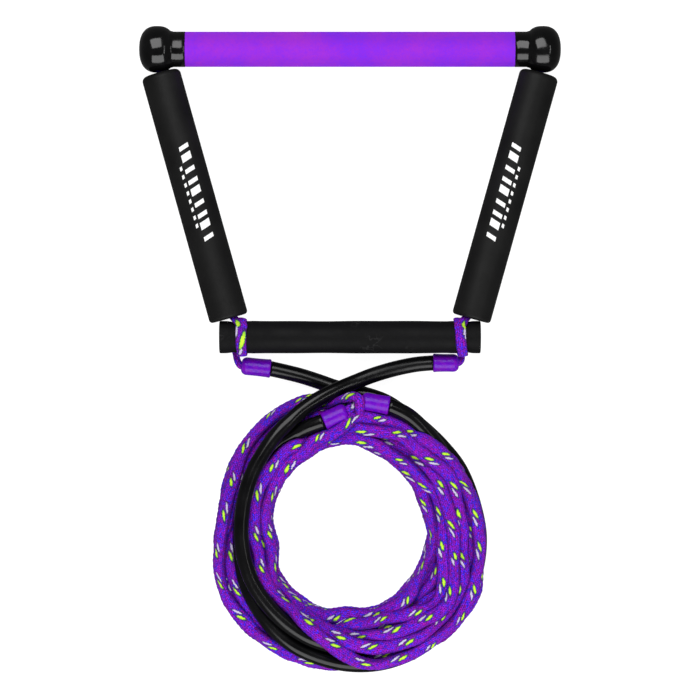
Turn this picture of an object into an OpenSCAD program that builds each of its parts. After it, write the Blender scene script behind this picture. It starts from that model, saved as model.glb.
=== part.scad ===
// Tow rope handle with a floating bridle, a spreader bar and a coiled mainline.
// +X runs along the handle bar, +Y from the line towards the handle, +Z up.
// The origin is at the middle of the handle frame, on the surface it lies on.

/* [Handle bar] */
// Overall length across the two ball ends
handle_len = 331; // [280:1:400]
// Diameter of the wrapped grip
grip_d = 27.6; // [26:0.1:32]
// Diameter of the ball on each end cap
ball_d = 36.6; // [34:0.1:42]
// Length of one ball along the bar
ball_len = 28.6; // [27:0.1:32]
// Length of the neck between the grip and the ball
neck_len = 11; // [8:0.5:16]
// Outer diameter of the metal bar
bar_d = 22; // [18:0.5:23]
// Wall thickness of the metal bar
bar_wall = 2; // [1:0.1:3]
// Thickness of the suede skin
skin = 0.6; // [0.4:0.1:1.2]

/* [Legs and floats] */
// Distance between the handle axis and the spreader axis
leg_span = 226; // [200:1:260]
// Half the distance between the legs, at the spreader axis
leg_foot_x = 91; // [80:1:95]
// Diameter of the bridle rope
rope_d = 8; // [6:0.5:10]
// Diameter of each float
float_d = 31; // [28:0.5:34]
// Length of each float
float_len = 198; // [150:1:198]
// Diameter of the hole through each float
float_bore_d = 15; // [14.5:0.5:18]

/* [Spreader bar] */
// Length of the spreader bar
spreader_len = 205; // [180:1:205]
// Outer diameter of the spreader's sleeve
spreader_d = 25.4; // [22:0.1:26]
// Outer diameter of the spreader's core tube
core_d = 19; // [14:0.5:20]
// Width of the rope where it wraps the spreader
wrap_w = 9.5; // [8:0.5:12]
// Thickness of the rope where it wraps the spreader
wrap_t = 2.4; // [2:0.1:3]
// Distance from the middle of the spreader to each wrap
wrap_x = 86.5; // [84:0.5:88]

/* [Line] */
// Outer diameter of the sleeve tubes on the bridle
tube_d = 12; // [10:0.5:12]
// Outer diameter of the shrunk collars
collar_d = 14.5; // [13.5:0.5:15]
// Inner radius of the stored coil
coil_in = 64; // [55:1:70]
// Outer radius of the stored coil
coil_out = 109; // [100:1:115]
// Height of the stored coil
coil_h = 40; // [30:1:50]
// Distance from the spreader axis to the middle of the coil
coil_drop = 155.5; // [150:0.5:165]

/* [Hidden] */

$fn = 64;
gap = 0.3;
seat = 0.05;
ball_r = ball_d / 2;
grip_r = grip_d / 2;
bar_r = bar_d / 2;
rope_r = rope_d / 2;
tube_r = tube_d / 2;
collar_r = collar_d / 2;
spreader_r = spreader_d / 2;
core_r = core_d / 2;
axis_z = ball_r;

// Places along the bar, from its middle: the balls, where each meets its neck, the
// grip's end and the end of the metal bar in its socket
ball_x = (handle_len - ball_len) / 2;
ball_overlap = 11;
neck_x = ball_x - ball_overlap;
grip_x = neck_x - neck_len + seat;
socket_depth = 13;
socket_x = grip_x + socket_depth;

// The origin lies midway between the balls and an edge just past the spreader
wrap_in = spreader_r + gap;
frame_edge = 16.4;
handle_y = (leg_span + frame_edge - ball_r) / 2;
spreader_y = handle_y - leg_span;

// Each leg runs straight from the spreader axis to the bar axis inside its ball
leg_offset = 3;
leg_top_x = ball_x + leg_offset;
leg_len = norm([leg_top_x - leg_foot_x, leg_span]);
leg_tilt = atan2(leg_top_x - leg_foot_x, leg_span);
leg_start = spreader_r + 2.5;
float_start = leg_start + 1.5;
stub_len = ball_r - 1.3;
leg_stop = leg_len - stub_len - 2.6;
hole_r = rope_r + 0.6;
strand_r = 2;
strand_from = [leg_foot_x + 5.1, 18.3, 0];
strand_to = [wrap_x + 1, wrap_in + 2.2, 0];
elbow = 0.2;

// Spreader end plugs
plug_flange = 2.5;
plug_depth = 14;
core_wall = 1.5;

// Collars lie from their rope end to their tube end, [x, y, z] from the spreader axis
left_low = [[-85.5, -22.4, 7.5], [-63, -24.7, 7.5]];
right_low = [[85.6, -20.3, 7.3], [66, -20.2, 8]];
left_up = [[-2, -57.7, 35], [-20, -65.6, 35]];
right_up = [[9, -49.7, 33], [30, -53.4, 33]];

// Each tie rope runs from under the spreader to its lower collar
tie_r = 2.5;
left_tie = [[-90.8, -9, 2.6], [-90.3, -14, 3.5], [-89, -18.5, 5.8], [-86.3, -22.2, 7.5]];
right_tie = [[90.3, -9, 2.6], [90, -13.5, 3.4], [89.3, -17.6, 5.6], [86.6, -20.2, 7.3]];

// Route of each sleeve tube from its lower to its upper collar, from the spreader axis
left_route = [[-63, -24.7, 7.5], [-51, -27.4, 7], [-38, -30.7, 6.5], [-24, -35.2, 6], [-10, -40, 6],
    [8, -44, 7], [27.5, -50.5, 9], [43.6, -61, 11], [57.5, -71.5, 11], [73, -86.5, 10],
    [87, -105, 8], [97, -130.5, 7], [102, -158, 7], [98.5, -186, 7], [87, -211.5, 8],
    [73, -229.5, 10], [52, -246, 14], [26, -255.5, 18], [-1, -256.5, 22], [-27, -250, 25],
    [-49.5, -238, 26.5], [-67, -220, 26.5], [-79, -199.5, 25], [-84, -182, 24], [-86, -160, 24],
    [-84, -135, 24], [-77.5, -113, 24], [-68, -96, 25], [-56.5, -83.5, 26], [-44, -76, 28],
    [-32, -70, 32.5], [-20, -65.6, 35]];
right_route = [[66, -20.2, 8], [53, -21.3, 9], [40, -23.7, 11], [27.6, -26.9, 13.5],
    [16, -30.6, 16], [4, -35.3, 19], [-9, -40.7, 23.5], [-22.7, -47.4, 28], [-35, -55.3, 32],
    [-47, -65.6, 36.5], [-58.3, -77.2, 38.5], [-68, -91, 39], [-74.8, -103, 39], [-80, -117, 39],
    [-83.4, -132, 38.5], [-85, -149.5, 38], [-84.2, -163, 38], [-81, -178.5, 38],
    [-73.9, -195.6, 37], [-61, -213, 36], [-44.8, -227.5, 34], [-25.5, -238, 32], [-1.5, -244, 25],
    [22, -243, 18], [44, -234.5, 12], [62, -217.5, 8], [76, -200, 7], [84, -180, 7], [86, -156, 7],
    [83, -134, 9], [77, -113, 16], [73, -93, 24], [61, -76, 29], [46, -61.5, 32], [30, -53.4, 33]];

// Middle of the joint between the bridle and the mainline, from the spreader axis
joint_loop = [3.5, -53.7, 34];
joint_loop_r = 7.6;
joint_loop_turn = 36;

// Middle of the stored coil, at floor height
coil_at = [-1.5, -coil_drop, 0];

// Flat eye at the boat end of the mainline, tucked under the coil
eye_len = 70;
eye_w = 22;
eye_r = 4;
eye_turn = 50;

// A smooth curve through the points p, with the same number of steps between each two
function spline(p, i, t) = let (
        last = len(p) - 1,
        a = p[max(i - 1, 0)], b = p[i], c = p[min(i + 1, last)], d = p[min(i + 2, last)])
    0.5 * (2 * b + t * (c - a) + t * t * (2 * a - 5 * b + 4 * c - d)
        + t * t * t * (3 * b - a - 3 * c + d));
function smooth(p, steps) = concat(
    [for (i = [0 : len(p) - 2], k = [0 : steps - 1]) spline(p, i, k / steps)],
    [p[len(p) - 1]]);
function unit(v) = v / norm(v);
function heading(p, i) = unit(p[min(i + 1, len(p) - 1)] - p[max(i - 1, 0)]);
function ring(p, i, r, sides) = let (
        t = heading(p, i), s = unit(cross([0, 0, 1], t)), u = cross(t, s))
    [for (k = [0 : sides - 1]) p[i] + r * (cos(360 * k / sides) * s + sin(360 * k / sides) * u)];

// A round cord of radius r along the points p
module cord(p, r, sides) {
    rings = len(p);
    skin_points = [for (i = [0 : rings - 1]) each ring(p, i, r, sides)];
    walls = [for (i = [0 : rings - 2], k = [0 : sides - 1]) let (n = (k + 1) % sides)
        [i * sides + k, (i + 1) * sides + k, (i + 1) * sides + n, i * sides + n]];
    first = [for (k = [0 : sides - 1]) k];
    last = [for (k = [sides - 1 : -1 : 0]) (rings - 1) * sides + k];
    polyhedron(skin_points, concat(walls, [first, last]), convexity = 10);
}

// Stands a child's +Z axis along the line from a to b
module along(a, b) {
    v = b - a;
    translate(a) rotate([0, acos(v[2] / norm(v)), atan2(v[1], v[0])]) children();
}

// Puts a child whose Z axis is the bar's length onto the handle axis, side 1 or -1
module on_bar(side) {
    translate([0, handle_y, axis_z]) rotate([0, side * 90, 0]) children();
}

module on_spreader(side) {
    translate([0, spreader_y, axis_z]) rotate([0, side * 90, 0]) children();
}

// Puts a child's +Z axis along one leg, from the spreader axis to the ball
module on_leg(side, z) {
    translate([side * leg_foot_x, spreader_y, z]) rotate([-90, 0, 0])
        rotate([0, side * leg_tilt, 0]) children();
}

module pipe(r_out, r_in, z0, z1) {
    translate([0, 0, z0]) difference() {
        cylinder(r = r_out, h = z1 - z0);
        translate([0, 0, -1]) cylinder(r = r_in, h = z1 - z0 + 2);
    }
}

// Handle bar
module bar_tube() {
    color("silver") on_bar(1) pipe(bar_r, bar_r - bar_wall, -socket_x + seat, socket_x - seat);
}

module grip_underlay() {
    color("dimgray") on_bar(1) pipe(grip_r - skin - seat, bar_r + seat, -grip_x, grip_x);
}

module grip_wrap() {
    color("blueviolet") on_bar(1) pipe(grip_r, grip_r - skin, -grip_x, grip_x);
}

// Outline of an end cap, along the bar: a straight neck, then a squarish ball
module cap_outline() {
    neck_r = grip_r + 0.1;
    squareness = 2.4;
    half = ball_len / 2;
    polygon(concat(
        [[0, grip_x + seat], [neck_r - 0.4, grip_x + seat], [neck_r, grip_x + 0.5],
            [neck_r, neck_x - 1]],
        [for (k = [-5 : 9]) let (u = sign(k) * pow(abs(sin(9 * k)), 0.8))
            [ball_r * pow(1 - pow(abs(u), squareness), 1 / squareness), ball_x + half * u]],
        [[0, ball_x + half]]));
}

module end_cap(side) {
    color("#141414") difference() {
        on_bar(side) difference() {
            rotate_extrude($fn = 96) cap_outline();
            translate([0, 0, grip_x - 5]) cylinder(r = bar_r + seat, h = socket_x - grip_x + 5);
            cylinder(r = hole_r, h = leg_top_x);
            translate([0, 0, leg_top_x]) sphere(r = hole_r + elbow);
        }
        on_leg(side, axis_z) translate([0, 0, leg_len - 2 * ball_r])
            cylinder(r = hole_r, h = 2 * ball_r);
    }
}

module left_end_cap() { end_cap(-1); }
module right_end_cap() { end_cap(1); }

// The bridle rope where it passes through the bar and turns down inside each ball
module bar_rope() {
    color("purple") union() {
        on_bar(1) translate([0, 0, -leg_top_x]) cylinder(r = rope_r, h = 2 * leg_top_x);
        for (side = [-1, 1]) {
            on_bar(side) translate([0, 0, leg_top_x]) sphere(r = rope_r + elbow);
            on_leg(side, axis_z) translate([0, 0, leg_len - stub_len])
                cylinder(r = rope_r, h = stub_len);
        }
    }
}

// Leg rope, the strand by which it goes on to the spreader, and its wrap round the bar
module leg_rope(side) {
    a = [side * strand_from[0], strand_from[1], 0];
    b = [side * strand_to[0], strand_to[1], 0];
    color("purple") union() {
        on_leg(side, axis_z) translate([0, 0, leg_start])
            cylinder(r = rope_r, h = leg_stop - leg_start);
        translate([0, spreader_y, axis_z]) along(a, b)
            cylinder(r = strand_r, h = norm(b - a), $fn = 24);
        on_spreader(side) translate([0, 0, wrap_x - wrap_w / 2]) rotate_extrude()
            translate([wrap_in, 0]) square([wrap_t, wrap_w]);
    }
}

module left_leg_rope() { leg_rope(-1); }
module right_leg_rope() { leg_rope(1); }

// Foam float with a softened edge at each end, rounder where the ball presses on it
module leg_float(side) {
    r = float_d / 2;
    soft = 2;
    softer = 4.5;
    color("#1a1a1a") on_leg(side, r) translate([0, 0, float_start]) difference() {
        rotate_extrude($fn = 96) union() {
            translate([0, soft]) square([r, float_len - soft - softer]);
            square([r - soft, soft + 1]);
            translate([0, float_len - softer - 1]) square([r - softer, softer + 1]);
            translate([r - soft, soft]) circle(r = soft);
            translate([r - softer, float_len - softer]) circle(r = softer);
        }
        translate([0, 0, -1]) cylinder(d = float_bore_d, h = float_len + 2);
    }
}

module left_float() { leg_float(-1); }
module right_float() { leg_float(1); }

// Spreader bar
module spreader_tube() {
    half = spreader_len / 2 - plug_flange - seat;
    color("gray") on_spreader(1) pipe(core_r, core_r - core_wall, -half, half);
}

module spreader_sleeve() {
    half = spreader_len / 2 - plug_flange - seat;
    color("#161616") on_spreader(1) pipe(spreader_r, core_r + seat, -half, half);
}

module spreader_plug(side) {
    color("#101010") on_spreader(side) union() {
        translate([0, 0, spreader_len / 2 - plug_flange])
            cylinder(r1 = spreader_r - 0.2, r2 = spreader_r - 1.2, h = plug_flange);
        translate([0, 0, spreader_len / 2 - plug_flange - plug_depth])
            cylinder(r = core_r - core_wall - seat, h = plug_depth + 0.5);
    }
}

module spreader_left_plug() { spreader_plug(-1); }
module spreader_right_plug() { spreader_plug(1); }

// Everything below is placed from the middle of the spreader bar, at floor height
module from_spreader() {
    translate([0, spreader_y, 0]) children();
}

// Thin strand from under the spreader to the rope end of a lower collar
module tie_rope(route) {
    color("purple") from_spreader() cord(smooth(route, 4), tie_r, 12);
}

module left_tie_rope() { tie_rope(left_tie); }
module right_tie_rope() { tie_rope(right_tie); }

// Shrunk collar: a straight sleeve that closes onto the rope at its rope end
module collar(ends) {
    len_c = norm(ends[1] - ends[0]);
    soft = 2.5;
    color("blueviolet") from_spreader() along(ends[0], ends[1]) rotate_extrude() union() {
        translate([0, soft]) square([collar_r, len_c - soft - seat]);
        square([collar_r - soft, soft + 1]);
        translate([collar_r - soft, soft]) circle(r = soft);
    }
}

module left_lower_collar() { collar(left_low); }
module right_lower_collar() { collar(right_low); }
module left_upper_collar() { collar(left_up); }
module right_upper_collar() { collar(right_up); }

module sleeve_tube(route) {
    color("#0c0c0c") from_spreader() cord(smooth(route, 2), tube_r, 12);
}

module left_tube() { sleeve_tube(left_route); }
module right_tube() { sleeve_tube(right_route); }

// Rope between the two upper collars, the apex of the bridle
module bridle_loop() {
    a = left_up[0];
    b = right_up[0];
    inset = 2.5;
    color("purple") from_spreader() along(a, b)
        translate([0, 0, inset]) cylinder(r = rope_r - 0.4, h = norm(b - a) - 2 * inset);
}

// Eye of the mainline, closed round the apex of the bridle
module mainline_loop() {
    color("purple") from_spreader() translate(joint_loop)
        rotate([0, 90, joint_loop_turn]) rotate_extrude() translate([joint_loop_r, 0])
            circle(r = rope_r - 0.5, $fn = 24);
}

// Outer shape of the stored mainline
module mainline_coil() {
    soft = 14;
    color("purple") from_spreader() translate(coil_at)
        rotate_extrude($fn = 128) union() {
            translate([coil_in + soft, 0]) square([coil_out - coil_in - 2 * soft, coil_h]);
            translate([coil_in, soft]) square([coil_out - coil_in, coil_h - 2 * soft]);
            for (x = [coil_in + soft, coil_out - soft], y = [soft, coil_h - soft])
                translate([x, y]) circle(r = soft);
        }
}

module boat_loop() {
    side = eye_len - eye_w;
    color("purple") from_spreader() translate(coil_at + [0, 0, eye_r])
        rotate([0, 0, -eye_turn]) translate([(coil_in + coil_out) / 2, 0, 0]) union() {
            for (x = [-1, 1]) translate([x * eye_w / 2, side / 2, 0])
                rotate([90, 0, 0]) cylinder(r = eye_r, h = side, $fn = 24);
            for (y = [-1, 1]) translate([0, y * side / 2, 0])
                rotate([0, 0, 90 - y * 90]) rotate_extrude(angle = 180)
                    translate([eye_w / 2, 0]) circle(r = eye_r, $fn = 24);
        }
}

bar_tube();
grip_underlay();
grip_wrap();
left_end_cap();
right_end_cap();
bar_rope();
left_leg_rope();
right_leg_rope();
left_float();
right_float();
spreader_tube();
spreader_sleeve();
spreader_left_plug();
spreader_right_plug();
left_tie_rope();
right_tie_rope();
left_lower_collar();
right_lower_collar();
left_tube();
right_tube();
left_upper_collar();
right_upper_collar();
bridle_loop();
mainline_loop();
mainline_coil();
boat_loop();
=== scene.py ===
import math

import bpy
import numpy as np
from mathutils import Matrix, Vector


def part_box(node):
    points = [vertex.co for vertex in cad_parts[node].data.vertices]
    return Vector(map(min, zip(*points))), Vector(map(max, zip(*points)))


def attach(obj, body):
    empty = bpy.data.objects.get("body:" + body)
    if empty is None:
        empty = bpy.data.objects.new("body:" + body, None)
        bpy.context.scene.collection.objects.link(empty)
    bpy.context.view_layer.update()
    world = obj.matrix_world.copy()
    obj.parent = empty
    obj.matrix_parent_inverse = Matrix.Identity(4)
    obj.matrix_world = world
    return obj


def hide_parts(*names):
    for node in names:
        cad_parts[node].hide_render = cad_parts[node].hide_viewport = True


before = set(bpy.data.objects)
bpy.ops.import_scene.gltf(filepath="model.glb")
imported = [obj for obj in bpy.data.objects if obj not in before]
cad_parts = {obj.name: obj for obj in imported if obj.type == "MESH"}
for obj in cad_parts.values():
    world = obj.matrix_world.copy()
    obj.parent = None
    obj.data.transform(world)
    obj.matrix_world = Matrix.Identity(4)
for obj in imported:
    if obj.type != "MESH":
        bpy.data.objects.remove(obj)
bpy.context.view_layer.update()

MM = 0.001


# ---------------------------------------------------------------- places from the frame
def middle(node):
    """The middle of a CAD node's box, in metres."""
    lo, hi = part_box(node)
    return (Vector(lo) + Vector(hi)) / 2


SPREADER = middle("spreader_sleeve")
BAR = middle("bar_tube")
SLEEVE_LOW, SLEEVE_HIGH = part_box("spreader_sleeve")
SLEEVE_R = (SLEEVE_HIGH[2] - SLEEVE_LOW[2]) / 2 / MM
AXIS_Z = SPREADER.z / MM


def place(points):
    """Points in millimetres from the spreader axis, at floor height, as metres in the frame."""
    p = np.asarray(points, float) * MM
    p[..., 1] += SPREADER.y
    return p


# ---------------------------------------------------------------- camera
VIEW_WIDTH = 0.553      # metres of floor across the picture
CAMERA_HEIGHT = 3.0
SENSOR = 36.0
BELOW_SPREADER = 0.0101
AIM = Vector((0.0, SPREADER.y - BELOW_SPREADER, 0.0))


def make_camera():
    data = bpy.data.cameras.new("camera")
    data.sensor_width = SENSOR
    data.lens = SENSOR * CAMERA_HEIGHT / VIEW_WIDTH
    camera = bpy.data.objects.new("camera", data)
    camera.location = AIM + Vector((0, 0, CAMERA_HEIGHT))
    bpy.context.scene.collection.objects.link(camera)
    bpy.context.scene.camera = camera


make_camera()

# ---------------------------------------------------------------- routes of the free cords
# Millimetres from the spreader axis, with the floor at 0: the same points as in part.scad.
# A collar goes from its rope end to its tube end, a tie and a sleeve tube along a route.
LEFT_LOW = [(-85.5, -22.4, 7.5), (-63, -24.7, 7.5)]
RIGHT_LOW = [(85.6, -20.3, 7.3), (66, -20.2, 8)]
LEFT_UP = [(-2, -57.7, 35), (-20, -65.6, 35)]
RIGHT_UP = [(9, -49.7, 33), (30, -53.4, 33)]
LEFT_TIE = [(-90.8, -9, 2.6), (-90.3, -14, 3.5), (-89, -18.5, 5.8), (-86.3, -22.2, 7.5)]
RIGHT_TIE = [(90.3, -9, 2.6), (90, -13.5, 3.4), (89.3, -17.6, 5.6), (86.6, -20.2, 7.3)]
LEFT_ROUTE = [
    (-63, -24.7, 7.5), (-51, -27.4, 7), (-38, -30.7, 6.5), (-24, -35.2, 6), (-10, -40, 6),
    (8, -44, 7), (27.5, -50.5, 9), (43.6, -61, 11), (57.5, -71.5, 11), (73, -86.5, 10),
    (87, -105, 8), (97, -130.5, 7), (102, -158, 7), (98.5, -186, 7), (87, -211.5, 8),
    (73, -229.5, 10), (52, -246, 14), (26, -255.5, 18), (-1, -256.5, 22), (-27, -250, 25),
    (-49.5, -238, 26.5), (-67, -220, 26.5), (-79, -199.5, 25), (-84, -182, 24), (-86, -160, 24),
    (-84, -135, 24), (-77.5, -113, 24), (-68, -96, 25), (-56.5, -83.5, 26), (-44, -76, 28),
    (-32, -70, 32.5), (-20, -65.6, 35)]
RIGHT_ROUTE = [
    (66, -20.2, 8), (53, -21.3, 9), (40, -23.7, 11), (27.6, -26.9, 13.5), (16, -30.6, 16),
    (4, -35.3, 19), (-9, -40.7, 23.5), (-22.7, -47.4, 28), (-35, -55.3, 32), (-47, -65.6, 36.5),
    (-58.3, -77.2, 38.5), (-68, -91, 39), (-74.8, -103, 39), (-80, -117, 39),
    (-83.4, -132, 38.5), (-85, -149.5, 38), (-84.2, -163, 38), (-81, -178.5, 38),
    (-73.9, -195.6, 37), (-61, -213, 36), (-44.8, -227.5, 34), (-25.5, -238, 32),
    (-1.5, -244, 25), (22, -243, 18), (44, -234.5, 12), (62, -217.5, 8), (76, -200, 7),
    (84, -180, 7), (86, -156, 7), (83, -134, 9), (77, -113, 16), (73, -93, 24), (61, -76, 29),
    (46, -61.5, 32), (30, -53.4, 33)]
COIL_AT = (-1.5, -155.5)
TUBE_R = 6.0
COLLAR_R = 7.25


CURVE_STEPS = 24    # from one point of a route to the next


def smooth(points, step):
    """A Catmull-Rom curve through the points, as evenly spaced points about step apart."""
    p = np.asarray(points, float)
    q = np.vstack([p[0], p, p[-1]])
    t = np.linspace(0, 1, CURVE_STEPS, endpoint=False)[:, None]
    parts = []
    for a, b, c, d in zip(q[:-3], q[1:-2], q[2:-1], q[3:]):
        parts.append(0.5 * (2 * b + t * (c - a) + t**2 * (2 * a - 5 * b + 4 * c - d)
                            + t**3 * (3 * b - a - 3 * c + d)))
    return even(np.vstack(parts + [p[-1:]]), step)


def run_along(path):
    """The distance along a path, at each of its points."""
    return np.concatenate([[0], np.cumsum(np.linalg.norm(np.diff(path, axis=0), axis=1))])


def even(path, step):
    """The same path as evenly spaced points about step apart."""
    run = run_along(path)
    n = max(int(round(run[-1] / step)), 2)
    s = np.linspace(0, run[-1], n + 1)
    return np.stack([np.interp(s, run, axis) for axis in path.T], axis=1)


def length_of(path):
    return float(np.linalg.norm(np.diff(path, axis=0), axis=1).sum())


# ---------------------------------------------------------------- the mainline in its coil
ROPE_W = 5.3        # half the width of the flattened braid
ROPE_T = 3.1        # half its thickness
STATIONS = 90       # points in one turn
TURNS = 22.6
START_ANGLE = 104.0  # where the line leaves its eye, below the tube, and joins the coil
PILE_R = 88.0       # distance from the coil's centre to the middle of the pile
BURIED_LANES = [97.5, 90.5, 83.5, 76.5]     # and to the hidden turns, side by side
FLAT_R, EDGE_FROM_FLAT = 87, 24     # where the braid lies flat, and from there to an edge
MOST_LEAN = 0.75    # radians, at the pile's edges
STRAND_REACH = (50, 125)    # how near a tube must pass to touch the pile
BLOCKS = 8          # most tubes and collars that cross one station
NOWHERE = 500       # a place too far off to touch anything

# How far from the coil's centre the line may lie: (angle round the coil, distance)
OUTSIDE = [(95, 104), (105, 110), (120, 110), (135, 107), (150, 102.5), (165, 98), (175, 98),
           (185, 100.5), (195, 104.5), (207, 107), (225, 105), (240, 104), (255, 102.5),
           (270, 101.5), (285, 103.5), (300, 105), (315, 106), (325, 109), (335, 110),
           (345, 105.5), (360, 102.5), (375, 100.5), (390, 98.5), (405, 97), (420, 95.5),
           (435, 94), (455, 104)]
INSIDE = [(90, 79), (97, 77.5), (105, 75.5), (120, 72.5), (135, 71), (150, 70), (165, 67.5),
          (180, 63), (187, 61), (195, 62), (203, 66), (225, 66.5), (255, 65.5), (268, 62),
          (285, 66.5), (300, 65.5), (330, 66), (340, 65), (360, 68), (385, 65), (405, 70),
          (420, 71.5), (435, 73), (450, 79)]

# The turns seen from above: (angle round the coil, distance from its centre, height)
TOP_TURNS = [
    [(104, 106.5, 16), (112, 110, 14), (120, 110, 14), (135, 106.5, 18), (150, 102, 22),
     (165, 98, 24), (175, 98, 24), (185, 100.5, 22), (195, 104.5, 20), (207, 107, 20),
     (225, 105, 18), (240, 103.5, 16), (255, 102, 14), (267, 100, 13), (290, 95, 9),
     (330, 88, 8), (420, 86, 8), (445, 85, 14)],
    [(104, 86, 30), (115, 85.5, 37), (125, 84.5, 40), (146, 78.5, 40), (170, 74.5, 38),
     (195, 73, 38), (216, 75.5, 39), (238, 77, 40), (250, 78.5, 41), (258, 82.5, 43),
     (265, 87.5, 44), (270, 93, 43), (277, 99.5, 40), (285, 103.5, 36), (295, 105, 34),
     (305, 104.5, 33), (315, 105.5, 34), (325, 108.5, 35), (335, 109.5, 35), (345, 105, 34),
     (355, 102.5, 33), (375, 100, 34), (395, 98, 35), (410, 96.5, 36), (425, 94.5, 39),
     (440, 92.5, 42), (450, 90.5, 44), (455, 88.5, 45), (460, 86, 45)],
    [(104, 81.5, 43), (109, 79, 41), (136, 73.5, 36), (150, 69.5, 34), (165, 66.5, 32),
     (180, 64, 31), (190, 63.5, 31), (203, 67.5, 33), (225, 71, 36), (245, 74, 39),
     (255, 76, 41), (265, 79.5, 43), (275, 83, 44), (288, 89.5, 44), (300, 94, 44),
     (312, 98, 43), (322, 100.5, 42), (330, 99, 42), (340, 94, 43), (350, 91, 43),
     (365, 90.5, 43), (385, 91, 43), (405, 90, 43), (425, 88, 43), (440, 85, 42), (455, 82, 41)],
    [(104, 74, 33), (150, 76, 28), (200, 70, 28), (240, 72, 36), (258, 74, 39), (270, 76, 41),
     (280, 78, 43), (292, 82.5, 44), (303, 87.5, 44), (315, 92, 44), (325, 94.5, 44),
     (338, 90, 44), (352, 84, 44), (365, 82, 44), (385, 82.5, 43), (405, 82, 42),
     (425, 81, 42), (440, 79, 41), (455, 77, 38)],
    [(104, 92, 20), (125, 96, 22), (150, 95, 22), (165, 94.5, 20), (185, 95.5, 20),
     (200, 96, 17), (212, 95, 13), (225, 93, 11), (235, 86, 12), (260, 74, 26), (280, 71, 36),
     (300, 72.5, 41), (312, 79, 43), (321, 87, 44), (328, 87.5, 44), (340, 80, 43),
     (353, 75, 41), (370, 74, 40), (395, 74, 39), (425, 74, 38), (455, 75, 34)],
    [(104, 90, 22), (150, 84, 22), (200, 80, 22), (240, 70, 30), (258, 66, 33), (268, 62.5, 34),
     (280, 66, 34), (300, 68, 37), (325, 70, 38), (345, 67, 36), (365, 68, 36), (385, 66.5, 36),
     (405, 69, 37), (425, 72, 37), (455, 78, 32)],
]


def wave(rng, x, count, low, high):
    """Smooth seeded noise of about unit size: count sines with wavelengths from low to high."""
    out = np.zeros_like(x)
    for _ in range(count):
        out += np.sin(2 * math.pi * (x / rng.uniform(low, high) + rng.uniform()))
    return out / math.sqrt(count / 2)


def coil_targets(rng, count):
    """First place of each point of the line, as distance from the centre and height."""
    turn = np.arange(count) / STATIONS
    keys = [(k + (angle - START_ANGLE) / 360, r, z)
            for k, row in enumerate(TOP_TURNS) for angle, r, z in row]
    there_and_back = BURIED_LANES + BURIED_LANES[::-1]
    for k in range(len(TOP_TURNS), int(TURNS) + 2):
        lane = there_and_back[k % len(there_and_back)]
        layer = (k - len(TOP_TURNS)) // len(BURIED_LANES)
        for part in (0.1, 0.5, 0.85):
            keys.append((k + part, lane + rng.uniform(-7, 7), max(4.0, 20 - 4.5 * layer)))
    at, r, z = zip(*keys)
    r = np.interp(turn, at, r) + wave(rng, turn, 6, 0.15, 0.6) * 1.2
    return np.stack([r, np.interp(turn, at, z)], axis=1)


def crossings(path, radius):
    """Where a round strand passes each station of the coil: rows of (station, r, z, radius)."""
    x, y = path[:, 0] - COIL_AT[0], path[:, 1] - COIL_AT[1]
    r = np.hypot(x, y)
    turn = (np.unwrap(np.arctan2(y, x)) - math.radians(START_ANGLE)) / (2 * math.pi) * STATIONS
    near, far = STRAND_REACH
    rows = []
    for a in range(len(path) - 1):
        lo, hi = sorted((turn[a], turn[a + 1]))
        for station in range(math.ceil(lo), math.floor(hi) + 1):
            f = (station - turn[a]) / (turn[a + 1] - turn[a])
            if near < r[a] < far:
                rows.append((station % STATIONS, r[a] + f * (r[a + 1] - r[a]),
                             path[a, 2] + f * (path[a + 1, 2] - path[a, 2]), radius))
    return rows


def obstacles():
    """The tubes and collars that the line lies round, station by station."""
    rows = []
    for route in (LEFT_ROUTE, RIGHT_ROUTE):
        rows += crossings(smooth(route, 1.0), TUBE_R)
    for ends in (LEFT_UP, RIGHT_UP):
        rows += crossings(even(np.array(ends, float), 1.0), COLLAR_R)
    table = np.zeros((BLOCKS, STATIONS, 3))
    table[..., 0] = NOWHERE
    fill = np.zeros(STATIONS, int)
    for station, *place_and_radius in rows:
        if fill[station] < BLOCKS:
            table[fill[station], station] = place_and_radius
            fill[station] += 1
    return table


def push_apart(d, reach):
    """How far to move along d so that two sections clear; reach is their half sizes together."""
    scaled = d / reach
    dist = np.linalg.norm(scaled, axis=-1, keepdims=True)
    short = np.clip(1 - dist, 0, None) / np.maximum(dist, 1e-3)
    return scaled * short * reach


def lean_at(r):
    """How far the braid's flat side leans outwards at r from the coil's centre, in radians."""
    return np.clip((r - FLAT_R) / EDGE_FROM_FLAT, -1, 1) * MOST_LEAN


def lowest(r):
    """Height at which the leaning braid touches the floor, with room for its unevenness."""
    lean = lean_at(r)
    return np.hypot(ROPE_W * np.sin(lean), ROPE_T * np.cos(lean)) + 0.3


# What one round of settling does. The first is in millimetres, the others are shares of the way.
SINK = 0.22         # every turn goes down
GATHER = 0.010      # hidden turns go towards the middle of the pile
FOLLOW = 0.05       # seen turns go to their own distance from the centre
LIFT = 0.04         # and up to their own height
GIVE = 0.45         # turns leave each other's space
YIELD = 0.8         # and that of the tubes and collars
FENCE = 0.3         # a turn outside the coil's edges goes back
IRON = 0.25         # each point goes towards the mean of its neighbours
SETTLING_ROUNDS = 700
LAST_ROUNDS = 30    # in which only every third round irons
TURN_REACH = np.array([2 * ROPE_W * 0.97, 2 * ROPE_T * 0.98])   # of two turns, pressed together


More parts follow.
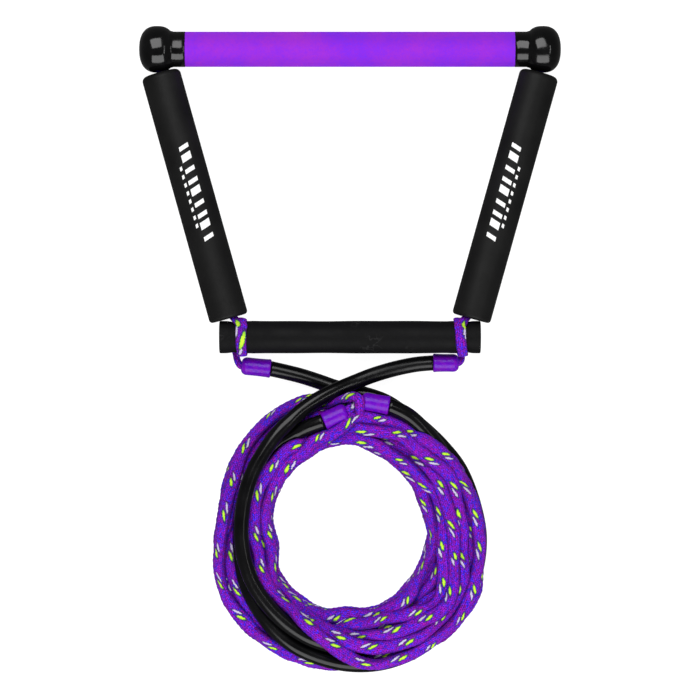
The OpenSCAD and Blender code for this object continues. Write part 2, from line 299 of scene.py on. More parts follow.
def lay_coil():
    """The line's centre path: a long spiral whose turns settle on and beside each other."""
    rng = np.random.default_rng(11)
    count = int(TURNS * STATIONS)
    turns = int(TURNS) + 1
    point = np.arange(turns * STATIONS)
    target = coil_targets(rng, len(point))
    p = target.copy()
    live = (point < count).reshape(turns, STATIONS)
    both = (live[:, None] & live[None])[..., None]
    seen = point < len(TOP_TURNS) * STATIONS
    angle = np.radians(START_ANGLE + 360 * point / STATIONS)
    round_at = (np.degrees(angle) - 90) % 360 + 90
    inner = np.interp(round_at, *zip(*INSIDE))
    inner += wave(rng, point % STATIONS / STATIONS, 4, 0.1, 0.4) * 0.5
    outer = np.interp(round_at, *zip(*OUTSIDE))
    blocks = obstacles()
    block_reach = blocks[..., 2:] + (ROPE_W, ROPE_T)
    for step in range(SETTLING_ROUNDS):
        cool = 1 - step / SETTLING_ROUNDS
        p[:, 1] -= SINK * (0.3 + cool)
        p[:, 0] += GATHER * cool * (PILE_R - p[:, 0]) * ~seen
        p[:, 0] += FOLLOW * (target[:, 0] - p[:, 0]) * seen
        p[:, 1] += LIFT * cool * np.clip(target[:, 1] - p[:, 1], 0, None) * seen
        for _ in range(2):
            q = p.reshape(turns, STATIONS, 2)
            soft = 0.5 * (push_apart(q[:, None] - q[None], TURN_REACH) * both).sum(axis=1)
            hard = push_apart(q[:, None] - blocks[None, ..., :2], block_reach).sum(axis=1)
            p += GIVE * soft.reshape(-1, 2) + YIELD * hard.reshape(-1, 2)
            p[:, 1] = np.maximum(p[:, 1], lowest(p[:, 0]))
            p[:, 0] += FENCE * np.clip(inner - p[:, 0], 0, None)
            p[:, 0] -= FENCE * np.clip(p[:, 0] - outer, 0, None)
        if step < SETTLING_ROUNDS - LAST_ROUNDS or step % 3 == 0:
            mean = 0.5 * (np.roll(p, 1, axis=0) + np.roll(p, -1, axis=0))
            mean[0], mean[-1] = p[0], p[-1]
            p += IRON * (mean - p)
        p[0] = target[0]
    r, z = p[:count].T
    angle = angle[:count]
    return np.stack([COIL_AT[0] + r * np.cos(angle), COIL_AT[1] + r * np.sin(angle), z], axis=1)


# ---------------------------------------------------------------- swept meshes
def unit(v):
    return v / np.maximum(np.linalg.norm(v, axis=-1, keepdims=True), 1e-12)


def directions(path, up):
    """Unit side and face directions along a path; up is a vector or one per point."""
    tangent = unit(np.gradient(path, axis=0))
    side = unit(np.cross(tangent, np.broadcast_to(up, path.shape)))
    return side, np.cross(side, tangent)


def build(name, rings, u):
    """A closed mesh from rings of points, with UVs: u in metres along it, v once round it."""
    n, sides, _ = rings.shape
    i, k = np.meshgrid(np.arange(n - 1), np.arange(sides), indexing="ij")
    k2 = (k + 1) % sides
    quads = np.stack([i * sides + k, i * sides + k2, (i + 1) * sides + k2, (i + 1) * sides + k],
                     axis=-1).reshape(-1, 4)
    uv = np.stack([np.stack([u[i], k / sides], -1), np.stack([u[i], (k + 1) / sides], -1),
                   np.stack([u[i + 1], (k + 1) / sides], -1), np.stack([u[i + 1], k / sides], -1)],
                  axis=-2).reshape(-1, 2)
    faces = quads.tolist()
    faces.append(list(range(sides - 1, -1, -1)))
    faces.append(list(range((n - 1) * sides, n * sides)))
    ends = np.zeros((2 * sides, 2))
    ends[:sides, 0], ends[sides:, 0] = u[0], u[-1]
    obj = add_mesh(name, rings.reshape(-1, 3), faces)
    layer = obj.data.uv_layers.new(name="UVMap")
    layer.data.foreach_set("uv", np.vstack([uv, ends]).astype(np.float32).ravel())
    obj.data.polygons.foreach_set("use_smooth", [True] * len(faces))
    obj.data.update()
    return obj


def add_mesh(name, points, faces):
    """A new object in the scene, from points in metres."""
    mesh = bpy.data.meshes.new(name)
    mesh.from_pydata(np.asarray(points).tolist(), [], faces)
    obj = bpy.data.objects.new(name, mesh)
    bpy.context.scene.collection.objects.link(obj)
    return obj


def section_points(sides, half_w, half_t, square):
    """Points evenly spaced round a flattened section: their angle, and their unit x and y."""
    fine = np.linspace(0, 2 * math.pi, 721)
    c, s = np.cos(fine), np.sin(fine)
    c = np.sign(c) * np.abs(c) ** (2 / square)
    s = np.sign(s) * np.abs(s) ** (2 / square)
    edge = np.hypot(np.diff(c * half_w), np.diff(s * half_t))
    run = np.concatenate([[0], np.cumsum(edge)])
    at = run[-1] * np.arange(sides) / sides
    return np.interp(at, run, fine), np.interp(at, run, c), np.interp(at, run, s)


LUMPS = 10          # waves that make up a cord's unevenness
LUMP_LONG = (9, 45)     # their lengths, in millimetres


def sweep(name, path, half_w, half_t, sides, up=(0, 0, 1), square=2.0, lump=0.0, stitch=0.0,
          zero=0.0):
    """A tube along the path (millimetres from the spreader) with a flat or round section.

    square is the power of the section's superellipse, lump and stitch are how uneven it is as
    shares of its size, and zero is how far along the path the texture starts.
    """
    path = np.asarray(path, float)
    side, face = directions(path, np.asarray(up, float))
    a, c, s = section_points(sides, float(np.mean(half_w)), float(np.mean(half_t)), square)
    half_w = np.broadcast_to(half_w, len(path))[:, None, None]
    half_t = np.broadcast_to(half_t, len(path))[:, None, None]
    run = run_along(path)
    scale = np.ones((len(path), sides, 1))
    if lump:
        rng = np.random.default_rng(1)
        for _ in range(LUMPS):
            turns = rng.integers(1, 4)
            scale[..., 0] += lump / 2.2 * np.sin(
                2 * math.pi * (run[:, None] / rng.uniform(*LUMP_LONG)
                               + turns * a[None] / 2 / math.pi + rng.uniform()))
    i, k = np.meshgrid(np.arange(len(path)), np.arange(sides), indexing="ij")
    scale[..., 0] += stitch * ((i + k) % 2 - 0.5)
    rings = path[:, None] + scale * (half_w * c[None, :, None] * side[:, None]
                                     + half_t * s[None, :, None] * face[:, None])
    return build(name, place(rings), (run - zero) * MM)


def revolve(name, origin, axis, profile, sides):
    """A surface of revolution: profile rows are (distance along the axis, radius), in mm."""
    axis = unit(np.asarray(axis, float))
    side = unit(np.cross(axis, (0, 0, 1)))
    face = np.cross(side, axis)
    profile = np.asarray(profile, float)
    a = 2 * math.pi * np.arange(sides) / sides
    circle = np.cos(a)[:, None] * side + np.sin(a)[:, None] * face
    rings = (np.asarray(origin, float) + profile[:, None, :1] * axis
             + profile[:, None, 1:] * circle[None])
    return build(name, place(rings), run_along(profile) * MM)


# ---------------------------------------------------------------- materials
class Look:
    """One node material, built with short calls."""

    def __init__(self, name, **values):
        self.material = bpy.data.materials.new(name)
        self.material.use_nodes = True
        self.tree = self.material.node_tree
        self.tree.nodes.clear()
        self.out = self.tree.nodes.new("ShaderNodeOutputMaterial")
        self.shader = self.tree.nodes.new("ShaderNodeBsdfPrincipled")
        self.link(self.shader.outputs[0], self.out.inputs["Surface"])
        for key, value in values.items():
            self.shader.inputs[key.replace("_", " ")].default_value = value

    def link(self, a, b):
        self.tree.links.new(a, b)

    def put(self, socket, value):
        if isinstance(value, bpy.types.NodeSocket):
            self.link(value, socket)
        elif value is not None:
            socket.default_value = value

    def node(self, kind, **settings):
        n = self.tree.nodes.new(kind)
        for key, value in settings.items():
            setattr(n, key, value)
        return n

    def coords(self, which):
        return self.node("ShaderNodeTexCoord").outputs[which]

    def math(self, op, a, b=None):
        n = self.node("ShaderNodeMath", operation=op)
        for socket, value in zip(n.inputs, (a, b)):
            self.put(socket, value)
        return n.outputs[0]

    def add(self, a, b):
        return self.math("ADD", a, b)

    def sub(self, a, b):
        return self.math("SUBTRACT", a, b)

    def mul(self, a, b):
        return self.math("MULTIPLY", a, b)

    def div(self, a, b):
        return self.math("DIVIDE", a, b)

    def floor(self, a):
        return self.math("FLOOR", a)

    def absolute(self, a):
        return self.math("ABSOLUTE", a)

    def sine(self, a, factor):
        return self.math("SINE", self.mul(a, factor))

    def split(self, vector):
        n = self.node("ShaderNodeSeparateXYZ")
        self.link(vector, n.inputs[0])
        return n.outputs

    def join(self, x, y, z=0.0):
        n = self.node("ShaderNodeCombineXYZ")
        for socket, value in zip(n.inputs, (x, y, z)):
            self.put(socket, value)
        return n.outputs[0]

    def noise(self, vector, scale, detail=2.0, rough=0.5):
        n = self.node("ShaderNodeTexNoise")
        self.link(vector, n.inputs["Vector"])
        n.inputs["Scale"].default_value = scale
        n.inputs["Detail"].default_value = detail
        n.inputs["Roughness"].default_value = rough
        return n.outputs["Fac"]

    def white(self, vector):
        n = self.node("ShaderNodeTexWhiteNoise", noise_dimensions="3D")
        self.link(vector, n.inputs["Vector"])
        return n.outputs["Value"]

    def ramp(self, value, stops):
        n = self.node("ShaderNodeValToRGB")
        self.link(value, n.inputs[0])
        ramp = n.color_ramp.elements
        while len(ramp) < len(stops):
            ramp.new(0.5)
        for element, (at, colour) in zip(ramp, stops):
            element.position = at
            element.color = (*colour, 1.0)
        return n.outputs[0]

    def fade(self, value, low, high, a=0.0, b=1.0):
        n = self.node("ShaderNodeMapRange", interpolation_type="SMOOTHSTEP", clamp=True)
        for socket, v in zip(n.inputs, (value, low, high, a, b)):
            self.put(socket, v)
        return n.outputs[0]

    def mix(self, factor, a, b, mode="MIX"):
        n = self.node("ShaderNodeMix", data_type="RGBA", blend_type=mode)
        for index, value in ((0, factor), (6, a), (7, b)):
            if isinstance(value, tuple):
                value = (*value, 1.0)
            self.put(n.inputs[index], value)
        return n.outputs[2]

    def bump(self, height, strength, distance):
        n = self.node("ShaderNodeBump")
        self.link(height, n.inputs["Height"])
        n.inputs["Strength"].default_value = strength
        n.inputs["Distance"].default_value = distance
        return n.outputs[0]

    def set(self, **sockets):
        for key, value in sockets.items():
            self.put(self.shader.inputs[key.replace("_", " ")], value)
        return self.material


# Linear colours of the rope's yarns, with a painted highlight for the middle of a green fleck and
# a painted shadow for the ring round each fleck
VIOLET = (0.225, 0.010, 0.60)
BLUE = (0.055, 0.022, 0.90)
MAGENTA = (0.35, 0.006, 0.41)
LIME = (0.42, 0.74, 0.03)
LIME_HIGHLIGHT = (0.56, 0.78, 0.05)
LIME_EDGE = (0.13, 0.42, 0.05)
LILAC = (0.52, 0.46, 0.66)
FLECK_SHADOW = (0.02, 0.025, 0.07)

# The braid, in millimetres
YARN = 1.5          # width of a stitch
STITCH = 1.9        # its length along the rope
LANES = 2           # rows round the rope in which the tracers surface
FLECK_TILT = 22     # degrees
FACE_MIDDLE = 0.25  # where the middle of the rope's face is, as a share of its girth


def stitches(look, along, v, around):
    """How high each point stands in its slanted stitch, and a chance value for each stitch."""
    columns = 2 * round(around / YARN / 2)
    c = look.mul(v, columns)
    column = look.floor(c)
    side = look.sub(c, column)
    hand = look.math("MODULO", column, 2.0)
    lean = look.mul(look.sub(look.mul(hand, 2.0), 1.0), look.sub(side, 0.5))
    a = look.add(look.div(along, STITCH), look.mul(lean, 0.9))
    row = look.floor(a)
    crown = look.mul(look.sine(look.sub(a, row), math.pi), look.sine(side, math.pi))
    return crown, look.white(look.join(column, row, 1.0))


def fleck(look, x, y, tilt, long, wide, wobble):
    """Zero in the middle of a slanted fleck and one at its edge; x and y in millimetres."""
    cos_t, sin_t = math.cos(math.radians(tilt)), math.sin(math.radians(tilt))
    p = look.add(look.mul(x, cos_t), look.mul(y, sin_t))
    q = look.add(look.sub(look.mul(y, cos_t), look.mul(x, sin_t)), wobble)
    return look.add(look.math("POWER", look.absolute(look.div(p, long)), 2.0),
                    look.math("POWER", look.absolute(look.div(q, wide)), 1.7))


def placed_flecks(look, along, across, wobble, rows):
    """The nearest of some flecks: rows of (along, across, tilt, half length, half width)."""
    nearest = None
    for at, aside, tilt, long, wide in rows:
        one = fleck(look, look.sub(along, at), look.sub(across, aside), tilt, long, wide, wobble)
        nearest = one if nearest is None else look.math("MINIMUM", nearest, one)
    return nearest


def repeated_flecks(look, along, v, around, gap, size, wobble):
    """A green fleck and a pale one beside it, which come back every gap along each lane."""
    lane = look.floor(look.mul(v, LANES))
    in_lane = look.sub(look.mul(v, LANES), lane)
    helix = look.sub(look.div(along, gap), look.div(lane, LANES))
    cell = look.floor(helix)
    chance = look.white(look.join(cell, lane, 3.0))
    chance2 = look.white(look.join(cell, lane, 8.0))
    x = look.mul(look.sub(look.sub(helix, cell), look.add(0.32, look.mul(chance, 0.26))), gap)
    y = look.mul(look.sub(in_lane, look.add(0.34, look.mul(chance2, 0.32))), around / LANES)
    y = look.add(y, look.mul(x, look.mul(look.sub(chance, 0.5), 0.35)))
    x = look.div(x, look.add(0.8, look.mul(chance2, 0.45)))
    long, wide = size
    green = fleck(look, x, y, FLECK_TILT, long, wide, wobble)
    pale = fleck(look, look.add(x, long * 1.4), look.sub(y, wide * 1.1), FLECK_TILT,
                 long * 1.05, wide * 0.78, wobble)
    return green, pale


def rope_look(name, around, gap=None, size=(4.0, 1.3), spots=None):
    """Flat braid: rows of slanted stitches, with a green and a pale tracer that surface in pairs.

    around is the rope's girth. The flecks come back every gap, with half length and half width
    size, or spots places them one by one: green rows and pale rows, from the face's middle.
    """
    look = Look(name, Roughness=0.8, Specular_IOR_Level=0.12)
    where = look.coords("Object")
    u, v, _ = look.split(look.coords("UV"))
    along = look.mul(u, 1 / MM)
    crown, chance = stitches(look, along, v, around)
    patch = look.noise(where, 650.0, 3.0, 0.7)
    wobble = look.mul(look.sub(patch, 0.5), 2.4)
    if spots:
        across = look.mul(look.sub(v, FACE_MIDDLE), around)
        near_green, near_pale = [placed_flecks(look, along, across, wobble, rows)
                                 for rows in spots]
    else:
        near_green, near_pale = repeated_flecks(look, along, v, around, gap, size, wobble)
    green = look.fade(near_green, 1.25, 0.8)
    pale = look.fade(near_pale, 1.25, 0.8)
    # Painted shadow: a dark ring round each fleck, where the tracer dips into the braid
    shadow_ring = look.fade(look.math("MINIMUM", near_green, near_pale), 3.2, 1.0)

    tone = look.add(look.mul(chance, 0.26), look.mul(patch, 0.56))
    tone = look.add(tone, look.mul(look.noise(where, 28.0), 0.18))
    colour = look.ramp(tone, [(0.38, BLUE), (0.47, VIOLET), (0.55, VIOLET), (0.65, MAGENTA)])
    # Painted shade: darker at the braid's sides and in the hollows between its stitches; the speck
    # noise varies it at random
    side_shade = look.fade(look.absolute(look.sine(v, 2 * math.pi)), 0.0, 0.75, 0.45, 1.0)
    shade = look.mul(look.fade(crown, 0.0, 0.5, 0.4, 1.0), side_shade)
    speck = look.noise(where, 900.0, 2.0, 0.6)
    shade = look.mul(shade, look.fade(speck, 0.32, 0.68, 0.55, 1.45))
    colour = look.mix(1.0, colour, look.join(shade, shade, shade), "MULTIPLY")
    colour = look.mix(look.mul(shadow_ring, 0.85), colour, FLECK_SHADOW)
    # The green flecks: lime, with a painted highlight, lighter and yellower, in their middle and a
    # darker green at their rim
    lime_with_highlight = look.ramp(near_green, [(0.0, LIME_HIGHLIGHT), (0.45, LIME), (1.0, LIME_EDGE)])
    colour = look.mix(green, colour, lime_with_highlight)
    colour = look.mix(pale, colour, LILAC)

    flecks = look.math("MAXIMUM", green, pale)
    height = look.add(look.mul(crown, look.sub(1.0, flecks)), look.mul(flecks, 1.5))
    height = look.add(height, look.mul(look.noise(where, 1500.0, 3.0), 0.8))
    return look.set(Base_Color=colour, Normal=look.bump(height, 0.9, 0.0006))


def tube_look():
    look = Look("sleeve_tube_gloss", Specular_IOR_Level=0.25)
    where = look.coords("Object")
    wear = look.noise(where, 40.0, 3.0)
    colour = look.ramp(wear, [(0.3, (0.0015, 0.0015, 0.0018)), (0.75, (0.004, 0.004, 0.0045))])
    return look.set(Base_Color=colour, Roughness=look.fade(wear, 0.3, 0.75, 0.14, 0.26),
                    Normal=look.bump(wear, 0.2, 0.0008))


def collar_look():
    look = Look("shrink_collar_skin", Specular_IOR_Level=0.17)
    where = look.coords("Object")
    patch = look.noise(where, 240.0, 4.0)
    colour = look.ramp(patch, [(0.25, (0.080, 0.002, 0.38)), (0.5, (0.125, 0.002, 0.43)),
                               (0.75, (0.175, 0.002, 0.35))])
    return look.set(Base_Color=colour, Roughness=look.fade(patch, 0.2, 0.8, 0.2, 0.34),
                    Normal=look.bump(look.noise(where, 420.0, 4.0), 0.35, 0.0006))


def suede_look():
    look = Look("suede", Roughness=0.95, Specular_IOR_Level=0.08)
    where = look.coords("Object")
    broad = look.noise(where, 22.0, 4.0, 0.65)
    nap = look.noise(where, 620.0, 4.0, 0.75)
    fibre = look.noise(where, 3200.0, 2.0)
    tone = look.add(look.mul(broad, 0.65), look.mul(nap, 0.5))
    colour = look.ramp(tone, [(0.30, (0.10, 0.025, 0.78)), (0.50, (0.205, 0.020, 0.66)),
                              (0.68, (0.30, 0.024, 0.55)), (0.85, (0.35, 0.034, 0.52))])
    colour = look.mix(look.mul(fibre, 0.25), colour, (0.16, 0.02, 0.45))
    height = look.add(look.mul(nap, 1.5), fibre)
    return look.set(Base_Color=colour, Normal=look.bump(height, 0.5, 0.0004))


def foam_look(name="float_foam_skin", level=0.006):
    look = Look(name, Specular_IOR_Level=0.12)
    where = look.coords("Object")
    pores = look.noise(where, 1900.0, 3.0)
    soft = look.noise(where, 38.0, 3.0)
    colour = look.ramp(soft, [(0.3, (level * 0.8,) * 3), (0.7, (level * 1.35,) * 3)])
    height = look.add(pores, look.mul(soft, 2.0))
    return look.set(Base_Color=colour, Roughness=look.fade(pores, 0.3, 0.7, 0.42, 0.6),
                    Normal=look.bump(height, 0.25, 0.0004))


def cap_look():
    look = Look("cap_gloss", Specular_IOR_Level=0.38)
    where = look.coords("Object")
    fine = look.noise(where, 700.0, 3.0)
    wear = look.noise(where, 90.0, 3.0)
    colour = look.ramp(wear, [(0.3, (0.0010, 0.0010, 0.0011)), (0.8, (0.003, 0.003, 0.0032))])
    return look.set(Base_Color=colour, Roughness=look.fade(wear, 0.3, 0.8, 0.10, 0.22),
                    Normal=look.bump(fine, 0.05, 0.0003))


def sleeve_look():
    look = Look("spreader_sleeve_skin", Specular_IOR_Level=0.07)
    where = look.coords("Object")
    scuff = look.noise(where, 30.0, 5.0, 0.75)
    fine = look.noise(where, 1500.0, 3.0)
    mark = look.fade(scuff, 0.62, 0.78)
    colour = look.mix(look.mul(mark, 0.4), (0.0042, 0.0042, 0.0045), (0.022, 0.022, 0.023))
    line = look.absolute(look.sub(look.noise(where, 130.0, 2.0), 0.5))
    rubbed = look.fade(look.noise(where, 31.0, 2.0), 0.60, 0.70)
    scratch = look.mul(look.fade(line, 0.03, 0.0), rubbed)
    colour = look.mix(look.mul(scratch, 0.38), colour, (0.035, 0.035, 0.036))
    return look.set(Base_Color=colour, Roughness=look.fade(scuff, 0.3, 0.8, 0.5, 0.72),
                    Normal=look.bump(look.add(fine, look.mul(scuff, 2.0)), 0.2, 0.0004))


def metal_look():
    look = Look("bar_metal_skin", Metallic=1.0, Base_Color=(0.62, 0.62, 0.64, 1))
    fine = look.noise(look.coords("Object"), 800.0, 3.0)
    return look.set(Roughness=look.fade(fine, 0.2, 0.8, 0.25, 0.45),
                    Normal=look.bump(fine, 0.05, 0.0002))


def dress(obj, material, body, stands_for=()):
    """Give a new piece its material, its body and the nodes it replaces."""
    obj.data.materials.append(material)
    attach(obj, body)
    if stands_for:
        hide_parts(*stands_for)
    return obj


ROPE = rope_look("braid_rope_flat", 27.0, 28.5, size=(3.7, 1.08))
THIN_ROPE = rope_look("braid_rope_thin", 16.0, 30.0)
TIE_ROPE = rope_look("braid_rope_tie", 16.0, 900.0)
WRAP_LEFT = rope_look("braid_rope_wrap_left", 20.0, spots=(
    [(-1.0, -2.0, -14, 5.2, 1.4), (13.4, 0.7, -13, 7.2, 1.55)],
    [(6.5, -3.5, -6, 4.2, 1.1), (22.8, -0.6, -14, 3.4, 0.95)]))
WRAP_RIGHT = rope_look("braid_rope_wrap_right", 20.0, spots=(
    [(0.8, 2.7, 9, 6.2, 1.05)], [(8.6, 3.2, 6, 4.2, 1.25)]))
TUBE = tube_look()
COLLAR = collar_look()


# ---------------------------------------------------------------- sleeve tubes
def sleeve_tube(name, route, node):
    path = smooth(route, 2.5)
    obj = sweep(name, path, TUBE_R, TUBE_R, 28)
    return dress(obj, TUBE, "line", (node,)), path


left_tube, left_path = sleeve_tube("left_sleeve", LEFT_ROUTE, "left_tube")
right_tube, right_path = sleeve_tube("right_sleeve", RIGHT_ROUTE, "right_tube")


# ---------------------------------------------------------------- shrunk collars
def collar(name, ends, node):
    """A sleeve shrunk over the tube's end: a rounded rope end, a lip where it grips the tube."""
    a, b = np.array(ends[0], float), np.array(ends[1], float)
    long = np.linalg.norm(b - a)
    shoulder = [(4.2 - 4.2 * math.cos(t), 3.2 + 3.8 * math.sin(t))
                for t in np.linspace(0, math.pi / 2, 12)]
    body = [(x, 7.05 + 0.15 * (x - 4) / long - 0.15 * math.sin((x - 4) / (long - 6) * math.pi))
            for x in np.linspace(5.2, long - 2.2, 12)]
    lip = [(long - 1.4, 7.25), (long - 0.6, 7.35), (long + 0.1, 7.2), (long + 0.5, 6.75),
           (long + 0.6, 6.05)]
    obj = revolve(name, a, b - a, [(0.0, 2.0)] + shoulder + body + lip, 64)
    return dress(obj, COLLAR, "line", (node,))


left_low = collar("left_lower_shrink", LEFT_LOW, "left_lower_collar")
right_low = collar("right_lower_shrink", RIGHT_LOW, "right_lower_collar")
left_up = collar("left_upper_shrink", LEFT_UP, "left_upper_collar")
right_up = collar("right_upper_shrink", RIGHT_UP, "right_upper_collar")


# ---------------------------------------------------------------- tie ropes
def tie(name, route, collar_ends, node, wrap_x, inwards):
    """A thin strand from the underside of the wrap at wrap_x into its collar.

    inwards moves the strand along the spreader, most at its upper end and not in the collar.
    """
    a, b = np.array(collar_ends[0], float), np.array(collar_ends[1], float)
    inside = a + (b - a) * 0.12
    route = [(x + inwards * (1 - k / len(route)), y, z) for k, (x, y, z) in enumerate(route)]
    under = [(wrap_x, 4.0, 4.4), (wrap_x + 0.3 * inwards, -2.5, 3.5)]
    path = smooth(under + route + [tuple(inside)], 1.0)
    obj = sweep(name, path, 2.9, 2.1, 16, square=2.2, lump=0.05)
    return dress(obj, TIE_ROPE, "line", (node,))


left_tie = tie("left_tie", LEFT_TIE, LEFT_LOW, "left_tie_rope", -86.0, 0.6)
right_tie = tie("right_tie", RIGHT_TIE, RIGHT_LOW, "right_tie_rope", 86.8, -3.0)

# ---------------------------------------------------------------- mainline
STEP = 2.2          # between the rings of its mesh


def flat_normals(path):
    """Which way the braid's flat side faces: up on the pile, outwards at its edges."""
    rng = np.random.default_rng(5)
    x, y = path[:, 0] - COIL_AT[0], path[:, 1] - COIL_AT[1]
    r = np.hypot(x, y)
    radial = np.stack([x / r, y / r, np.zeros_like(r)], axis=1)
    run = np.arange(len(path)) * STEP
    off_floor = path[:, 2] > 9
    lean = lean_at(r) + 0.28 * wave(rng, run, 8, 50, 250) * off_floor
    return radial * np.sin(lean)[:, None] + np.array([0, 0, 1]) * np.cos(lean)[:, None]


def flat_braid(path):
    """The mainline's mesh, a little wider here and a little thicker there."""
    rng = np.random.default_rng(9)
    run = np.arange(len(path)) * STEP
    width = ROPE_W * (1 + 0.05 * wave(rng, run, 8, 40, 200))
    obj = sweep("mainline", path, width, ROPE_T * (2 - width / ROPE_W), 14,
                up=flat_normals(path), square=2.3, lump=0.035, stitch=0.07)
    return dress(obj, ROPE, "line", ("mainline_coil",))


main_path = smooth(lay_coil(), STEP)
mainline = flat_braid(main_path)

# ---------------------------------------------------------------- the joint of bridle and line
EYE_ROUTE = [
    (-30, -53, 15), (-22, -52.5, 18), (-14, -52, 24), (-6, -48.5, 32), (1, -46, 39),
    (6.5, -48.5, 42), (7.5, -54, 40.5), (7, -59.5, 35), (3, -62, 28), (-5, -60, 23),
    (-15, -57, 19), (-28, -54.5, 16)]
EYE_MIDDLE = (2.0, -54.0, 31.0)


def bridle_apex():
    """The bridle's rope between its upper collars, and a little way into each."""
    a, b = np.array(LEFT_UP[0], float), np.array(RIGHT_UP[0], float)
    path = np.linspace(a - 0.1 * (b - a), b + 0.1 * (b - a), 16)
    obj = sweep("bridle_apex", path, 3.9, 3.6, 16, lump=0.04)
    return dress(obj, THIN_ROPE, "line", ("bridle_loop",))


def closed_eye():
    """The mainline's eye, closed round the apex, with its flat side away from the middle."""
    path = smooth(EYE_ROUTE, 1.0)
    obj = sweep("mainline_eye", path, 4.4, 2.6, 16, up=unit(path - EYE_MIDDLE), square=2.3,
                lump=0.04)
    return dress(obj, THIN_ROPE, "line", ("mainline_loop",))


apex = bridle_apex()
eye = closed_eye()


# ---------------------------------------------------------------- eye at the boat end
def long_eye():
    """The eye at the line's other end: an oval on the floor, tucked under the coil."""
    at = math.radians(-50)
    outwards = np.array([math.cos(at), math.sin(at)])
    onwards = np.array([-math.sin(at), math.cos(at)])
    points, from_centre, half_long, half_wide, height = 90, 86.5, 33, 10.5, 4.0
    t = np.linspace(0, 2 * math.pi, points)[:, None]
    oval = (np.array(COIL_AT) + from_centre * outwards + half_long * np.sin(t) * onwards
            + half_wide * np.sign(np.cos(t)) * np.abs(np.cos(t)) ** 0.6 * outwards)
    path = np.hstack([oval, np.full((points, 1), height)])
    obj = sweep("boat_eye", path, 4.4, 3.4, 14, lump=0.03)
    return dress(obj, THIN_ROPE, "line", ("boat_loop",))


boat_eye = long_eye()

# ---------------------------------------------------------------- floats
SIDES = {"left": -1, "right": 1}
LEG_FOOT, LEG_TOP = 91.0, 154.2     # how far out a leg meets the spreader and the bar
LEG_SPAN = (BAR.y - SPREADER.y) / MM
LEG_LEN = math.hypot(LEG_TOP - LEG_FOOT, LEG_SPAN)
LEG_STOP = LEG_LEN - 19.6           # where the leg rope goes into the ball
FLOAT_R, BORE_R = 15.5, 7.5
FLOAT_FROM, FLOAT_LEN = 16.7, 198.0
FOOT_GROWTH, TOP_GROWTH = 1.4, 0.9  # the foam's ends reach this far past the CAD float's


def leg_axis(side):
    return np.array([side * (LEG_TOP - LEG_FOOT), LEG_SPAN, 0.0]) / LEG_LEN


def along_float(side, along):
    """The point on a float's axis at a distance from its foot."""
    return np.array([side * LEG_FOOT, 0, FLOAT_R]) + (FLOAT_FROM + along) * leg_axis(side)


def arc(cx, cy, r, start, stop, count):
    return [(cx + r * math.cos(a), cy + r * math.sin(a))
            for a in np.radians(np.linspace(start, stop, count))]


def leg_float(side, word):
    """A foam tube with rounded ends, and the first 40 mm of its bore at either end."""
    soft, softer, bore_edge, bore_seen = 2.6, 4.2, 0.6, 40
    foot, end = -FOOT_GROWTH, FLOAT_LEN + TOP_GROWTH
    profile = [(bore_seen, BORE_R), (foot + bore_edge, BORE_R), (foot, BORE_R + bore_edge)]
    profile += arc(foot + soft, FLOAT_R - soft, soft, 180, 90, 9)
    profile += [(x, FLOAT_R) for x in np.linspace(8, end - 9, 60)]
    profile += arc(end - softer, FLOAT_R - softer, softer, 90, 0, 13)
    profile += [(end, BORE_R + bore_edge), (end - bore_edge, BORE_R), (end - bore_seen, BORE_R)]
    obj = revolve(word + "_float_foam", along_float(side, 0), leg_axis(side), profile, 96)
    return dress(obj, FOAM, "float_" + word, (word + "_float",))


FOAM = foam_look()
for word, side in SIDES.items():
    leg_float(side, word)


def on_float(side, along, angle):
    """A point just off a float's skin: distance along it, and angle from straight up."""
    across = np.cross(leg_axis(side), (0, 0, 1))
    r = FLOAT_R + 0.06
    return (along_float(side, along)
            + r * (math.sin(angle) * across + math.cos(angle) * np.array([0, 0, 1.0])))


def printed_mark(side, word):
    """A plain row of slanted bars with a finer row of dashes beside it, printed on the foam."""
    verts, faces = [], []

    def patch(start, long, low, high, slant):
        steps = 8
        base = len(verts)
        for i in range(steps + 1):
            f = i / steps
            height = low + f * (high - low)
            for edge in (0, 1):
                verts.append(on_float(side, start + edge * long + slant * f, height / FLOAT_R))
        for i in range(steps):
            k = base + 2 * i
            faces.append((k, k + 1, k + 3, k + 2))

    flip = -side
    for i in range(9):
        patch(134 - i * 9.1, 3.4 + 2.4 * (i % 3 == 1), flip * -1.5, flip * 6.5, 2.6)
    for i in range(8):
        patch(119 - i * 6.6, 3.0, flip * -5.2, flip * -3.2, 0.8)
    obj = add_mesh(word + "_float_mark", place(verts), faces)
    return dress(obj, PRINT, "float_" + word)


def print_look():
    look = Look("float_print", Specular_IOR_Level=0.3, Roughness=0.6)
    worn = look.noise(look.coords("Object"), 900.0, 3.0)
    return look.set(Base_Color=look.ramp(worn, [(0.3, (0.70, 0.70, 0.70)),
                                                (0.6, (0.82, 0.82, 0.82))]))


PRINT = print_look()
for word, side in SIDES.items():
    printed_mark(side, word)

# ---------------------------------------------------------------- end caps
BALL_R, HALF_BALL = 18.3, 14.3      # across the bar, and along it
BALL_X = 151.2
BALL_SQUARE = 2.5                   # power of the ball's superellipse
NECK_FROM, NECK_R, SOCKET_R = 129.3, 13.9, 10.0
BAR_FROM_SPREADER = np.array([0, LEG_SPAN, AXIS_Z])


